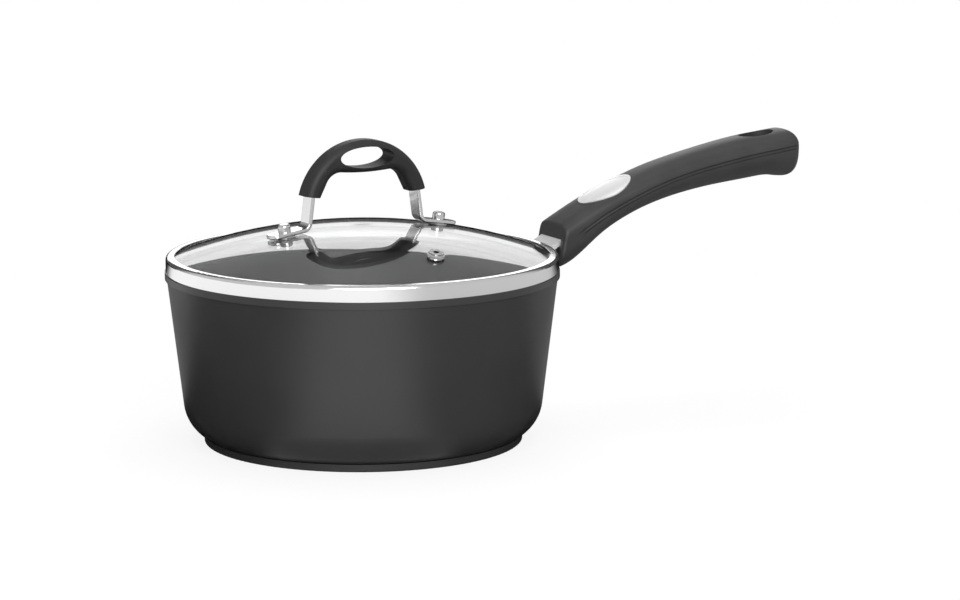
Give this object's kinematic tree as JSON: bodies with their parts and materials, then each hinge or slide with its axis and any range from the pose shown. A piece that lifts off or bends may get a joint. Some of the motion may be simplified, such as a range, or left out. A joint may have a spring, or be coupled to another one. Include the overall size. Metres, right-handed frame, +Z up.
{
  "type": "saucepan with glass lid",
  "caption": "Saucepan with a dark coated tapered body, a long curved handle with a hanging hole, and a lift-off domed glass lid with steel rim, steam vent and arched grip.",
  "frame": {"origin": "on the pan's axis, at the underside of the base disc", "axes": "+Z up along the pan's axis, +X along the long handle, away from the pan"},
  "size_m": [0.36, 0.2054, 0.158],
  "materials": {
    "pan_coating": "satin non-stick coating",
    "base_coating": "satin coating",
    "bracket_steel": "satin",
    "fastener_steel": "satin",
    "grip_plastic": "matt moulded",
    "badge_chrome": "polished",
    "lid_glass": "clear toughened",
    "rim_steel": "polished",
    "vent_steel": "polished",
    "lid_grip_plastic": "matt moulded",
    "leg_steel": "polished",
    "nut_steel": "polished",
    "silicone": "translucent grey"
  },
  "bodies": {
    "pan": {"pan_body": "pan_coating", "base_disc": "base_coating", "handle_bracket": "bracket_steel", "bracket_rivets": "fastener_steel", "handle_grip": "grip_plastic", "handle_badge": "badge_chrome", "handle_screw": "fastener_steel", "handle_screw_washer": "fastener_steel", "tang_nut": "fastener_steel"},
    "lid": {"lid_glass": "lid_glass", "lid_rim": "rim_steel", "vent_eyelet": "vent_steel", "vent_gasket": "silicone", "lid_handle_grip": "lid_grip_plastic", "lid_handle_leg_left": "leg_steel", "lid_handle_leg_right": "leg_steel", "lid_bolts": "fastener_steel", "lid_cap_nuts": "nut_steel", "lid_foot_pads": "silicone", "lid_inner_washers": "silicone"}
  },
  "joints": [
    {"name": "lid_lift", "type": "slide", "parent": "pan", "child": "lid", "axis": [0, 0, 1], "range_m": [0, 0.12]}
  ]
}
